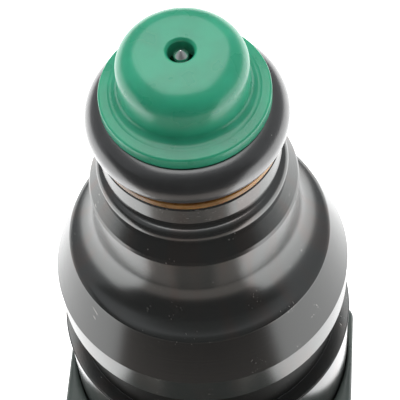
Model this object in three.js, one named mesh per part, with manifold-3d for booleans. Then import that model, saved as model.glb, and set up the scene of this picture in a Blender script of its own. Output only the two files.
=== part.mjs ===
// Pintle-type top-feed fuel injector, with its tip up and its inlet end on z = 0.
// Millimetres, +Z up. The injector's long axis is the Z axis.
import * as THREE from 'three';
import { mergeVertices } from 'three/addons/utils/BufferGeometryUtils.js';
import Module from 'manifold-3d';

const wasm = await Module();
wasm.setup();

// ---- driving dimensions ----
const sides = 32; // flats around a large turned piece
const smallSides = 24; // and around a small one inside it
const slip = 0.05; // radial clearance between pieces that fit one inside the other
const lift = 0.2; // travel of the needle

const sealRadius = 5.53; // O-ring, centre of the section from the axis
const sealSection = 1.75; // O-ring, radius of the section
const sealRoot = sealRadius - sealSection - 0.03; // radius of the spigot that carries an O-ring
const backingRadius = 6.6;

const lipRadius = 5.2; // formed lip at the inlet end
const inletBore = 2.95;
const coreBore = 2.05;
const poleRadius = 5;
const poleZ = 41; // pole face of the core
const poleStepZ = 24.15;

const canRadius = 11.7; // wall of the steel can
const canInside = 10.2;
const canBottomZ = 24.2;
const canTopZ = 47.3;
const canRimZ = 42.5; // sharp rim around the step in the can's top
const canRimRadius = 11.82;
const canNeckRadius = 10.68; // neck of the can above that step

const skirtZ = 50.4; // sharp lower edge of the nozzle holder's cone
const skirtRadius = 11.56;
const shoulderZ = 54.28; // sharp edge between the flare and the cone
const shoulderRadius = 10.14;
const collarZ = 61.46; // edge of the collar above the flare
const collarRadius = 7.83;
const landZ = 65.23; // lower edge of the neck land
const landRadius = 6.61;
const landTopZ = 67.05;
const ledgeZ = 49.6; // ledge that the stop shim lies on

const flangeZ = 72.3; // upper edge of the cap's flange
const flangeThickness = 1;
const flangeRadius = 6.05;
const domeRadius = 4.6;
const domeTopZ = 76.65;
const domeRounding = 1.75;
const sprayHole = 0.95;

const socketTurn = -99; // degrees about Z, the way the connector faces
const socketSlant = 25; // degrees that the connector leans towards the inlet
const blockHalfWidth = 12.2; // block that straddles the can and carries the socket
const blockBack = -4.2; // along the way the connector faces
const blockFront = 17;
const blockTopZ = 35.4;
const blockBottomZ = 18.5;
const shroud = { width: 20.4, height: 12.6, corner: 3.4, wall: 1.5, depth: 13.5, reach: 21.5 };
const socketRoot = { out: 9.6, z: 28.4 }; // where the connector's own axis starts
const blade = { thickness: 0.8, width: 2.8, pitch: 5, reach: 16.5 };
const leadWidth = 1.4;
const leadRadius = 7.6; // where the terminals rise into the can
const leadDrop = 14.2; // where they step down behind the socket
const leadRunZ = 22; // and the height at which they run in under the can

// ---- profile and solid helpers ----

// Points of an arc in the profile plane, from one angle to another in degrees.
function arc(centreR, centreZ, radius, from, to, steps) {
  const points = [];
  for (let i = 0; i <= steps; i += 1) {
    const angle = THREE.MathUtils.degToRad(from + ((to - from) * i) / steps);
    points.push([centreR + radius * Math.cos(angle), centreZ + radius * Math.sin(angle)]);
  }
  return points;
}

// A rectangle in the profile plane: a plain ring or sleeve.
function ringProfile(inner, outer, low, high) {
  return [[inner, low], [outer, low], [outer, high], [inner, high], [inner, low]];
}

// Keeps positions only, shares vertices and drops triangles that have shrunk to a line.
function welded(geometry) {
  geometry.deleteAttribute('normal');
  geometry.deleteAttribute('uv');
  const merged = mergeVertices(geometry, 1e-4);
  const index = merged.index.array;
  const kept = [];
  for (let i = 0; i < index.length; i += 3) {
    const [a, b, c] = [index[i], index[i + 1], index[i + 2]];
    if (a !== b && b !== c && c !== a) {
      kept.push(a, b, c);
    }
  }
  merged.setIndex(kept);
  return merged;
}

// Turns a closed profile of [radius, z] points, listed anticlockwise, about the Z axis.
function turned(profile, flats = sides) {
  const points = profile.map(([r, z]) => new THREE.Vector2(r, z));
  const geometry = new THREE.LatheGeometry(points, flats);
  geometry.rotateX(Math.PI / 2);
  return welded(geometry);
}

function extruded(shape, depth, curveSegments = 6) {
  const geometry = new THREE.ExtrudeGeometry(shape, { depth, bevelEnabled: false, curveSegments });
  return welded(geometry);
}

function oRing(radius, section, z) {
  return turned(arc(radius, z, section, 0, 360, 12));
}

function smallORing(radius, section, z) {
  return turned(arc(radius, z, section, 0, 360, 8), smallSides);
}

function toManifold(geometry) {
  return new wasm.Manifold(new wasm.Mesh({
    numProp: 3,
    vertProperties: new Float32Array(geometry.attributes.position.array),
    triVerts: new Uint32Array(geometry.index.array),
  }));
}

function fromManifold(solid) {
  const mesh = solid.getMesh();
  const geometry = new THREE.BufferGeometry();
  geometry.setAttribute('position', new THREE.BufferAttribute(mesh.vertProperties, 3));
  geometry.setIndex(new THREE.BufferAttribute(mesh.triVerts, 1));
  return geometry;
}

// A rectangle with round corners, centred on the origin.
function roundedRectangle(width, height, corner) {
  const [x, y] = [width / 2, height / 2];
  const shape = new THREE.Shape();
  shape.moveTo(-x + corner, -y);
  shape.lineTo(x - corner, -y);
  shape.absarc(x - corner, -y + corner, corner, -Math.PI / 2, 0, false);
  shape.lineTo(x, y - corner);
  shape.absarc(x - corner, y - corner, corner, 0, Math.PI / 2, false);
  shape.lineTo(-x + corner, y);
  shape.absarc(-x + corner, y - corner, corner, Math.PI / 2, Math.PI, false);
  shape.lineTo(-x, -y + corner);
  shape.absarc(-x + corner, -y + corner, corner, Math.PI, 1.5 * Math.PI, false);
  return shape;
}

const injector = new THREE.Group();

function add(name, geometry, color, roughness, metalness) {
  const material = new THREE.MeshStandardMaterial({ color, roughness, metalness });
  const mesh = new THREE.Mesh(geometry, material);
  mesh.name = name;
  injector.add(mesh);
  return mesh;
}

const blackSteel = [0x24211f, 0.3, 0.8];
const brightSteel = [0xb9bcc0, 0.25, 1];
const softIron = [0x8d8f92, 0.4, 1];
const blackRubber = [0x222222, 0.55, 0];
const greenPlastic = [0x3c966e, 0.3, 0];
const amberPlastic = [0xa96a25, 0.35, 0];
const darkPlastic = [0x333a37, 0.45, 0];

// ---- tip: cap, seal and backing ring ----

// Flat-topped dome with a spray hole, standing on a thin flange that holds the O-ring in.
function pintleCap() {
  const flangeBottomZ = flangeZ - flangeThickness;
  const fillet = 0.65;
  const rimFall = 0.25;
  return turned([
    [sprayHole, domeTopZ - 1.45],
    [sealRoot - 0.8, flangeZ + 2.3],
    [sealRoot - 0.8, flangeZ + 0.75],
    [sealRoot + slip, flangeZ + 0.75],
    [sealRoot + slip, flangeBottomZ],
    [flangeRadius - 0.08, flangeBottomZ],
    [flangeRadius, flangeBottomZ + 0.08],
    [flangeRadius, flangeZ - 0.1],
    [flangeRadius - 0.08, flangeZ],
    ...arc(domeRadius + fillet, flangeZ + 0.2 + fillet, fillet, 270, 180, 4),
    ...arc(domeRadius - domeRounding, domeTopZ - domeRounding, domeRounding, 0, 90, 6),
    [sprayHole + rimFall, domeTopZ],
    [sprayHole, domeTopZ - rimFall],
    [sprayHole, domeTopZ - 1.45],
  ]);
}

const lowerSealZ = flangeZ - flangeThickness - sealSection - slip;
add('pintle_cap', pintleCap(), ...greenPlastic);
add('lower_o_ring', oRing(sealRadius, sealSection, lowerSealZ), ...blackRubber);
add('lower_backing_ring',
  turned(ringProfile(sealRoot + slip, backingRadius, landTopZ + slip, landTopZ + 0.65)),
  ...amberPlastic);

// ---- nozzle holder: neck land, bead, collar, flare, shoulder and cone ----

function nozzleHolder() {
  const flare = 4.2;
  const wallRadius = collarRadius - 0.08;
  const spigotRadius = canInside - slip;
  const stripRadius = skirtRadius - 0.06;
  return turned([
    [poleRadius + 0.4, 44],
    [spigotRadius, 44],
    [spigotRadius, canTopZ + 0.08],
    [stripRadius, canTopZ + 0.08],
    [stripRadius, skirtZ - 0.15],
    [skirtRadius, skirtZ],
    [shoulderRadius, shoulderZ],
    [shoulderRadius - 0.06, shoulderZ + 0.25],
    ...arc(wallRadius + flare, shoulderZ + 3.92, flare, 241, 180, 5),
    [wallRadius, collarZ - 0.15],
    [collarRadius, collarZ],
    [collarRadius - 0.12, collarZ + 0.3],
    [landRadius + 0.35, collarZ + 1.35],
    ...arc(landRadius - 0.28, landZ - 1.5, 0.72, -50, 80, 5),
    [landRadius - 0.3, landZ - 0.1],
    [landRadius - 0.1, landZ - 0.05],
    [landRadius, landZ + 0.05],
    [landRadius, landTopZ - 0.15],
    [landRadius - 0.15, landTopZ],
    [sealRoot + slip, landTopZ],
    [sealRoot + slip, landTopZ - 0.5],
    [poleRadius, landTopZ - 0.5],
    [poleRadius, ledgeZ],
    [poleRadius - 0.6, ledgeZ],
    [poleRadius - 0.6, ledgeZ - 0.6],
    [poleRadius + 0.4, ledgeZ - 0.6],
    [poleRadius + 0.4, 44],
  ]);
}

add('nozzle_holder', nozzleHolder(), ...blackSteel);

// ---- valve: body with its seat, stop shim, needle and armature ----

const shimZ = ledgeZ + slip;
const shimThickness = 0.7;
const valveBottomZ = shimZ + shimThickness + slip;
const seatZ = 73.7; // top of the seat cone, where the orifice starts
const seatRadius = 0.62;
const guideRadius = 2;

function valveBody() {
  const noseZ = flangeZ + 2.15;
  return turned([
    [guideRadius, valveBottomZ],
    [poleRadius - slip, valveBottomZ],
    [poleRadius - slip, landTopZ - 0.55],
    [sealRoot, landTopZ - 0.55],
    [sealRoot, flangeZ + 0.5],
    [sealRoot - 0.2, flangeZ + 0.7],
    [sealRoot - 0.85, flangeZ + 0.7],
    [sealRoot - 0.85, noseZ],
    [seatRadius, noseZ],
    [seatRadius, seatZ],
    [guideRadius, seatZ - 1.5],
    [guideRadius, valveBottomZ],
  ]);
}

// A C-shaped washer whose slot lets the needle's stem in from the side.
function stopShim() {
  const outer = poleRadius - 0.1;
  const inner = 1.35;
  const half = Math.asin(inner / outer);
  const shape = new THREE.Shape();
  shape.absarc(0, 0, outer, half, 2 * Math.PI - half, false);
  shape.absarc(0, 0, inner, 1.5 * Math.PI, Math.PI / 2, true);
  const geometry = extruded(shape, shimThickness, 12);
  geometry.translate(0, 0, shimZ);
  return geometry;
}

function needle() {
  const tipZ = domeTopZ - 0.05;
  const shank = 1.4;
  const landing = guideRadius - 0.06;
  const collarBottomZ = shimZ + shimThickness + lift + 0.02;
  return turned([
    [0, 45],
    [1.15, 45],
    [1.15, collarBottomZ],
    [1.9, collarBottomZ],
    [1.9, collarBottomZ + 1.4],
    [shank, collarBottomZ + 1.7],
    [shank, 53.7],
    [landing, 54],
    [landing, 55.6],
    [shank, 55.9],
    [shank, 68.9],
    [landing, 69.2],
    [landing, 70.7],
    [1.5, 71.1],
    [1.5, seatZ - 1.08],
    [0.34, seatZ + 0.17],
    [0.34, tipZ - 1.05],
    [0.56, tipZ - 0.6],
    [0.52, tipZ - 0.42],
    [0, tipZ],
  ], smallSides);
}

const armatureZ = poleZ + lift + 0.1;

function armature() {
  const pocketZ = armatureZ + 3;
  const radius = poleRadius + 0.1;
  return turned([
    [coreBore, armatureZ],
    [radius - 0.3, armatureZ],
    [radius, armatureZ + 0.3],
    [radius, 48.4],
    [radius - 0.4, 48.8],
    [1.2, 48.8],
    [1.2, pocketZ],
    [coreBore, pocketZ],
    [coreBore, armatureZ],
  ]);
}

add('valve_body', valveBody(), ...brightSteel);
add('stop_shim', stopShim(), ...brightSteel);
add('needle', needle(), ...brightSteel);
add('armature', armature(), ...softIron);

// ---- steel can, core and solenoid ----

// The can's top steps in to a narrower neck; its bottom edge is rolled in under the flux washer.
function outerHousing() {
  return turned([
    [canInside - 0.8, canBottomZ],
    [canRadius - 0.4, canBottomZ],
    [canRadius, canBottomZ + 0.4],
    [canRadius, canRimZ - 0.15],
    [canRimRadius, canRimZ],
    [canRimRadius - 0.1, canRimZ + 0.1],
    [canNeckRadius, canRimZ + 0.1],
    [canNeckRadius, canTopZ],
    [canInside, canTopZ],
    [canInside, canBottomZ + 0.6],
    [canInside - 0.8, canBottomZ + 0.6],
    [canInside - 0.8, canBottomZ],
  ]);
}

function inletCore() {
  return turned([
    [inletBore, 0],
    [lipRadius - 0.15, 0],
    [lipRadius, 0.15],
    [lipRadius, 1.3],
    [lipRadius - 0.4, 1.7],
    [sealRoot, 1.7],
    [sealRoot, poleStepZ],
    [poleRadius, poleStepZ],
    [poleRadius, poleZ],
    [coreBore, poleZ],
    [coreBore, 12.5],
    [inletBore, 12.5],
    [inletBore, 0],
  ]);
}

const washerZ = canBottomZ + 0.7;
const washerThickness = 1.15;
const bobbinZ = washerZ + washerThickness + slip;
const bobbinTopZ = 42.4;
const bobbinInside = poleRadius + 0.3;
const tubeRadius = 6.2;
const lowFlangeZ = bobbinZ + 2.1;

function coilBobbin() {
  const flangeEdge = canInside - 0.3;
  const recess = 1.3;
  return turned([
    [6.9, bobbinZ],
    [flangeEdge, bobbinZ],
    [flangeEdge, lowFlangeZ],
    [tubeRadius, lowFlangeZ],
    [tubeRadius, bobbinTopZ - 1],
    [flangeEdge, bobbinTopZ - 1],
    [flangeEdge, bobbinTopZ],
    [bobbinInside, bobbinTopZ],
    [bobbinInside, bobbinZ + recess],
    [6.9, bobbinZ + recess],
    [6.9, bobbinZ],
  ]);
}

// A washer with a window that the terminals pass through.
function fluxWasher() {
  const shape = new THREE.Shape();
  shape.absarc(0, 0, canInside - 0.1, 0, 2 * Math.PI, false);
  const bore = new THREE.Path();
  bore.absarc(0, 0, poleRadius + slip, 0, 2 * Math.PI, true);
  shape.holes.push(bore);
  const window = new THREE.Path();
  window.moveTo(leadRadius - 1.2, -3.6);
  window.lineTo(leadRadius - 1.2, 3.6);
  window.lineTo(leadRadius + 1.2, 3.6);
  window.lineTo(leadRadius + 1.2, -3.6);
  window.closePath();
  shape.holes.push(window);
  const geometry = extruded(shape, washerThickness, 18);
  geometry.rotateZ(THREE.MathUtils.degToRad(socketTurn));
  geometry.translate(0, 0, washerZ);
  return geometry;
}

add('outer_housing', outerHousing(), ...blackSteel);
add('inlet_core', inletCore(), ...brightSteel);
add('flux_washer', fluxWasher(), ...softIron);
add('coil_bobbin', coilBobbin(), 0xd8d2c0, 0.5, 0);
add('coil_winding',
  turned(ringProfile(tubeRadius + slip, 9.5, lowFlangeZ + slip, bobbinTopZ - 1 - slip)),
  0xa8552a, 0.35, 0.8);
add('bobbin_seal_inlet', smallORing(6.05, 0.6, bobbinZ + 0.65), ...blackRubber);
add('bobbin_seal_tip', smallORing(6.4, 0.72, 43.2), ...blackRubber);
add('housing_seal', smallORing(8.9, 0.72, 43.2), ...blackRubber);

// ---- return spring, adjusting tube and inlet filter ----

// Helix of round wire between the adjusting tube and the armature's pocket.
class Helix extends THREE.Curve {
  constructor(radius, low, high, turns) {
    super();
    Object.assign(this, { radius, low, high, turns });
  }

  getPoint(t, target = new THREE.Vector3()) {
    const angle = 2 * Math.PI * this.turns * t;
    const z = this.low + (this.high - this.low) * t;
    return target.set(this.radius * Math.cos(angle), this.radius * Math.sin(angle), z);
  }
}

const tubeTopZ = 34;

function returnSpring() {
  const wire = 0.24;
  const turns = 6;
  const path = new Helix(1.5, tubeTopZ + wire + slip, armatureZ + 3 - wire - slip, turns);
  const section = new THREE.Shape();
  for (let i = 0; i < 6; i += 1) {
    const angle = (i * Math.PI) / 3;
    const [x, y] = [wire * Math.cos(angle), wire * Math.sin(angle)];
    if (i === 0) {
      section.moveTo(x, y);
    } else {
      section.lineTo(x, y);
    }
  }
  const steps = turns * 12;
  return welded(new THREE.ExtrudeGeometry(section, { steps, extrudePath: path }));
}

add('return_spring', returnSpring(), ...brightSteel);
add('adjusting_tube', turned(ringProfile(1.2, coreBore - slip, 20, tubeTopZ), smallSides), ...brightSteel);
add('filter_sleeve', turned(ringProfile(2.3, inletBore - slip, 0.8, 2.8), smallSides), 0xb08d4a, 0.3, 1);
add('filter_screen', turned([
  [0, 11.2],
  [1.65, 11.2],
  [1.9, 2.9],
  [2.35, 2.9],
  [2.1, 11.6],
  [0, 11.6],
], smallSides), 0xcfd3c8, 0.7, 0);

// ---- inlet end: seal and backing ring ----

const upperSealZ = 1.7 + slip + sealSection;
add('upper_o_ring', oRing(sealRadius, sealSection, upperSealZ), ...blackRubber);
add('upper_backing_ring',
  turned(ringProfile(sealRoot + slip, backingRadius, upperSealZ + sealSection + slip, 6.4)),
  ...amberPlastic);

// ---- connector body and terminals ----

// The connector's own frame: X across, Y out of the socket, Z up, turned and leaned into place.
function placedOut(geometry) {
  geometry.rotateX(THREE.MathUtils.degToRad(-socketSlant));
  geometry.translate(0, socketRoot.out, socketRoot.z);
  return facing(geometry);
}

function facing(geometry) {
  geometry.rotateZ(THREE.MathUtils.degToRad(socketTurn - 90));
  return geometry;
}

// A bar with round corners along the connector's own Y axis.
function socketBar(width, height, corner, from, to) {
  const geometry = extruded(roundedRectangle(width, height, corner), to - from, 4);
  geometry.rotateX(-Math.PI / 2);
  geometry.translate(0, from, 0);
  return placedOut(geometry);
}

// Flat strip of metal in the plane of the connector's Y and Z axes: a blade that steps down
// behind the socket, runs in under the can and rises through the flux washer.
function terminal(side, growth) {
  const slant = THREE.MathUtils.degToRad(socketSlant);
  const out = (along, across) => [
    socketRoot.out + along * Math.cos(slant) + across * Math.sin(slant),
    socketRoot.z - along * Math.sin(slant) + across * Math.cos(slant),
  ];
  // The point of a line along the blade, this far across it, that lies at a given Y.
  const above = (y, across) => out(
    (y - socketRoot.out - across * Math.sin(slant)) / Math.cos(slant),
    across,
  );
  const half = blade.width / 2 + growth;
  const lead = leadWidth / 2 + growth;
  const runTopZ = leadRunZ + lead;
  const runBottomZ = leadRunZ - lead;
  const leadTopZ = washerZ + washerThickness - 0.1 + growth;
  const outline = [
    above(leadDrop + lead, -half),
    out(blade.reach + growth, -half + 0.5),
    out(blade.reach + growth, half - 0.5),
    above(leadDrop - lead, half),
    [leadDrop - lead, runTopZ],
    [leadRadius + lead, runTopZ],
    [leadRadius + lead, leadTopZ],
    [leadRadius - lead, leadTopZ],
    [leadRadius - lead, runBottomZ],
    [leadDrop + lead, runBottomZ],
  ];
  const shape = new THREE.Shape(outline.map(([y, z]) => new THREE.Vector2(y, z)));
  const thickness = blade.thickness + 2 * growth;
  const geometry = extruded(shape, thickness);
  geometry.rotateY(Math.PI / 2);
  geometry.rotateX(Math.PI / 2);
  geometry.translate((side * blade.pitch) / 2 - thickness / 2, 0, 0);
  return facing(geometry);
}

// The block's side view: a square back, and a front face that leans with the socket.
function saddleBlock() {
  const lean = Math.tan(THREE.MathUtils.degToRad(socketSlant));
  const edge = 0.8;
  const shape = new THREE.Shape();
  shape.moveTo(blockBack, blockTopZ);
  shape.lineTo(blockBack, blockBottomZ + 4);
  shape.lineTo(blockBack + 4, blockBottomZ);
  shape.lineTo(blockFront - (blockTopZ - edge - blockBottomZ) * lean, blockBottomZ);
  shape.lineTo(blockFront, blockTopZ - edge);
  shape.lineTo(blockFront - edge, blockTopZ);
  const geometry = extruded(shape, 2 * blockHalfWidth);
  geometry.rotateY(Math.PI / 2);
  geometry.rotateX(Math.PI / 2);
  geometry.translate(-blockHalfWidth, 0, 0);
  return facing(geometry);
}

function connectorBody() {
  const neck = turned([
    [sealRoot + slip, 6.5],
    [6.2, 6.5],
    [6.6, 6.9],
    [6.6, 9.3],
    [5.9, 9.5],
    [5.9, 11.6],
    [6.9, 11.8],
    ...arc(8.6, 15.4, 1.7, 180, 115, 2),
    [canRadius - 1.4, 18.1],
    [canRadius - 0.1, 19.6],
    [canRadius - 0.1, canBottomZ - 0.1],
    [sealRoot + slip, canBottomZ - 0.1],
    [sealRoot + slip, 6.5],
  ]);
  const canSpace = turned([
    [0, canBottomZ - 0.1],
    [canRadius + slip, canBottomZ - 0.1],
    [canRadius + slip, blockTopZ + 1],
    [0, blockTopZ + 1],
  ]);
  const coreSpace = turned([
    [0, 5],
    [sealRoot + slip, 5],
    [sealRoot + slip, canBottomZ + 1],
    [0, canBottomZ + 1],
  ]);
  const inside = shroud.wall * 2;
  const cavityStart = shroud.reach - shroud.depth;
  const sleeve = socketBar(shroud.width, shroud.height, shroud.corner, 0, shroud.reach);
  const cavity = socketBar(shroud.width - inside, shroud.height - inside,
    shroud.corner - shroud.wall, cavityStart, shroud.reach + 1);
  let solid = toManifold(neck).add(toManifold(saddleBlock())).add(toManifold(sleeve));
  for (const side of [-1, 1]) {
    const lug = extruded(roundedRectangle(1.4, 5.2, 0.3), 2.4, 2);
    lug.rotateX(-Math.PI / 2);
    lug.translate((side * shroud.width) / 2, shroud.reach - 4.6, 0);
    solid = solid.add(toManifold(placedOut(lug)));
  }
  solid = solid.subtract(toManifold(canSpace)).subtract(toManifold(coreSpace));
  solid = solid.subtract(toManifold(cavity));
  for (const side of [-1, 1]) {
    solid = solid.subtract(toManifold(terminal(side, 0.15)));
  }
  return fromManifold(solid);
}

add('connector_body', connectorBody(), ...darkPlastic);
add('terminal_left', terminal(-1, 0), 0xc9c6bd, 0.25, 1);
add('terminal_right', terminal(1, 0), 0xc9c6bd, 0.25, 1);

export default injector;
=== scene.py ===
# Fuel injector standing on its inlet end: smooth pieces in place of faceted solids, each with its finish.
import bpy
import numpy as np
from mathutils import Matrix, Vector


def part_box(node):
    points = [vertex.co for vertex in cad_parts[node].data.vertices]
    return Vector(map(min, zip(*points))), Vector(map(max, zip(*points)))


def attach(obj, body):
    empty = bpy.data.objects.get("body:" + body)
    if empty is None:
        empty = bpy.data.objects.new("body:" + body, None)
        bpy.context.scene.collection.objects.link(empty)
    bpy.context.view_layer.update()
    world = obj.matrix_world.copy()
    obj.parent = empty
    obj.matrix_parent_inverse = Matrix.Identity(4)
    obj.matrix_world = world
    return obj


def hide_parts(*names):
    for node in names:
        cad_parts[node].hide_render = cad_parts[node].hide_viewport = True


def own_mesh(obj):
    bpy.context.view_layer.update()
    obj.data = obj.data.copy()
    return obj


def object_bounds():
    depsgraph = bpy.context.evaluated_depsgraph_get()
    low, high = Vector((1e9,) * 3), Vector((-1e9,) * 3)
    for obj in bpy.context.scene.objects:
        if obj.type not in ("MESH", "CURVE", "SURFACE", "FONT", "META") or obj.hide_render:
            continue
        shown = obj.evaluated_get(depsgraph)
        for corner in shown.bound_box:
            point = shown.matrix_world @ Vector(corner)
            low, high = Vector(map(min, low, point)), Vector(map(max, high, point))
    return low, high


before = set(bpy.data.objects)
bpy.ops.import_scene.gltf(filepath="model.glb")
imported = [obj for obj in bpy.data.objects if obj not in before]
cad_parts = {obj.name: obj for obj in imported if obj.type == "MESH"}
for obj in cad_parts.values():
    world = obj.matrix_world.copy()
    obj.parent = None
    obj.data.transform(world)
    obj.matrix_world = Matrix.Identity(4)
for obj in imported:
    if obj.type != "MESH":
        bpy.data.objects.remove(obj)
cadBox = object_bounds()
print("frame loaded,", len(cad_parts), "nodes")

mm = 0.001
fixedBody = "injector_body"
movingBody = "valve_needle"
cornerSteps = 7  # points on the arc of a rounded corner
cornerShare = 0.42  # of a side, the most that the arc of one corner may take


def extent(node):
    # outer radius, bottom and top of a turned node, in millimetres
    low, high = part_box(node)
    return high.x / mm, low.z / mm, high.z / mm


def rounded(corners):
    # Closed outline of (radius, height, rounding) corners. Each corner becomes an arc that touches both of
    # its sides: it starts rounding / tan(half angle) from the corner, and runs as centre + a spherical
    # blend of the two directions to its ends. A point just past each end of the arc keeps the flats flat.
    corners = np.array(corners, float)
    here, rounding = corners[:, :2], corners[:, 2]
    back = np.roll(here, 1, axis=0) - here
    ahead = np.roll(here, -1, axis=0) - here
    backLength = np.linalg.norm(back, axis=1)
    aheadLength = np.linalg.norm(ahead, axis=1)
    back = back / backLength[:, None]
    ahead = ahead / aheadLength[:, None]
    half = np.arccos(np.clip((back * ahead).sum(1), -0.9999, 0.9999)) / 2
    shortest = np.minimum(backLength, aheadLength)
    reach = np.minimum(rounding / np.tan(half), cornerShare * shortest)
    middle = back + ahead
    middle = middle / np.linalg.norm(middle, axis=1)[:, None]
    centre = here + middle * (reach / np.cos(half))[:, None]
    first = here + back * reach[:, None] - centre
    last = here + ahead * reach[:, None] - centre
    sweep = (np.pi - 2 * half)[:, None, None]
    share = np.linspace(0, 1, cornerSteps)[None, :, None]
    curve = first[:, None] * np.sin((1 - share) * sweep) + last[:, None] * np.sin(share * sweep)
    curve = curve / np.sin(sweep)
    past = (reach * 1.15 + 0.01)[:, None]
    before = here + back * past
    after = here + ahead * past
    points = np.concatenate([before[:, None], centre[:, None] + curve, after[:, None]], axis=1)
    return points.reshape(-1, 2)


def openLine(corners):
    # the same for an open line, whose first and last corner only say which way its ends run
    perCorner = cornerSteps + 2
    return rounded(corners)[perCorner:-perCorner]


def poleToPole(corners):
    # an open line that starts and ends on the axis
    ends = np.array(corners, float)[:, :2]
    return np.vstack([ends[:1], openLine(corners), ends[-1:]])


def arcPoints(centre, radius, start, end, steps):
    # circle arc in the profile plane: centre + radius * (cos, sin), angles in degrees
    angle = np.radians(np.linspace(start, end, steps))
    return centre + radius * np.stack([np.cos(angle), np.sin(angle)], axis=1)


def revolved(profile, columns):
    # grid point (i, j) = (radius i * cos angle j, radius i * sin angle j, height i)
    angle = np.linspace(0, 2 * np.pi, columns, endpoint=False)
    radius, height = profile[:, :1], profile[:, 1:]
    return np.stack([radius * np.cos(angle), radius * np.sin(angle), height + 0 * angle], axis=-1)


def tubeAlong(path, thickness, columns=14):
    # grid point (i, j) = path i + thickness * (side i * cos angle j + other i * sin angle j), where side
    # points away from the axis and other is square to it and the path; the two ends shrink to a point
    ahead = np.gradient(path, axis=0)
    ahead /= np.linalg.norm(ahead, axis=1)[:, None]
    side = path * [1, 1, 0]
    side /= np.linalg.norm(side, axis=1)[:, None]
    other = np.cross(ahead, side)
    other /= np.linalg.norm(other, axis=1)[:, None]
    angle = np.linspace(0, 2 * np.pi, columns, endpoint=False)[None, :, None]
    thick = np.full(len(path), float(thickness))
    thick[[0, -1]] = 0
    thick[[1, -2]] *= 0.75
    spoke = side[:, None] * np.cos(angle) + other[:, None] * np.sin(angle)
    return path[:, None] + thick[:, None, None] * spoke


def numbered(grid):
    return np.arange(grid.shape[0] * grid.shape[1]).reshape(grid.shape[:2])


def quadsBetween(index):
    # one quad for each four neighbours of a grid of point numbers
    corners = [index[:-1, :-1], index[:-1, 1:], index[1:, 1:], index[1:, :-1]]
    return np.stack(corners, axis=-1).reshape(-1, 4)


def gridFaces(grid, closed):
    # Quads between neighbouring grid points. A row always comes full circle, and with closed the last row
    # joins the first. Points that coincide are one vertex, and a quad at a pole is a triangle.
    index = numbered(grid)
    index = np.hstack([index, index[:, :1]])
    if closed:
        index = np.vstack([index, index[:1]])
    quads = quadsBetween(index)
    points, same = np.unique(grid.reshape(-1, 3).round(6), axis=0, return_inverse=True)
    quads = same.reshape(-1)[quads]
    lowPole = quads[:, 0] == quads[:, 1]
    highPole = quads[:, 2] == quads[:, 3]
    flat = (quads[:, 0] == quads[:, 3]) | (quads[:, 1] == quads[:, 2])
    faces = quads[~lowPole & ~highPole & ~flat].tolist()
    faces += quads[lowPole & ~highPole][:, [0, 2, 3]].tolist()
    faces += quads[highPole & ~lowPole][:, :3].tolist()
    return points, faces


def added(name, data):
    made = bpy.data.objects.new(name, data)
    bpy.context.scene.collection.objects.link(made)
    return made


def newMesh(name, points, faces, material):
    mesh = bpy.data.meshes.new(name)
    mesh.from_pydata((points * mm).tolist(), [], faces)
    mesh.validate()
    mesh.materials.append(material)
    return mesh


def piece(name, points, faces, node, material, body=fixedBody):
    mesh = newMesh(name, points, faces, material)
    mesh.shade_smooth()
    made = added(name, mesh)
    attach(made, body)
    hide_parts(node)
    return made


def turnedPiece(name, profile, node, material, body=fixedBody, columns=160, closed=True):
    points, faces = gridFaces(revolved(profile, columns), closed)
    return piece(name, points, faces, node, material, body)


class Signal:
    # a socket that takes part in sums: each operator adds one Math node
    def __init__(self, board, socket):
        self.board = board
        self.socket = socket

    def math(self, operation, first, second):
        return self.board.add("ShaderNodeMath", {"operation": operation}, {0: first, 1: second})

    def __add__(self, other):
        return self.math("ADD", self, other)

    def __radd__(self, other):
        return self.math("ADD", other, self)

    def __sub__(self, other):
        return self.math("SUBTRACT", self, other)

    def __rsub__(self, other):
        return self.math("SUBTRACT", other, self)

    def __mul__(self, other):
        return self.math("MULTIPLY", self, other)

    def __rmul__(self, other):
        return self.math("MULTIPLY", other, self)

    def __truediv__(self, other):
        return self.math("DIVIDE", self, other)

    def __pow__(self, other):
        return self.math("POWER", self, other)


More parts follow.
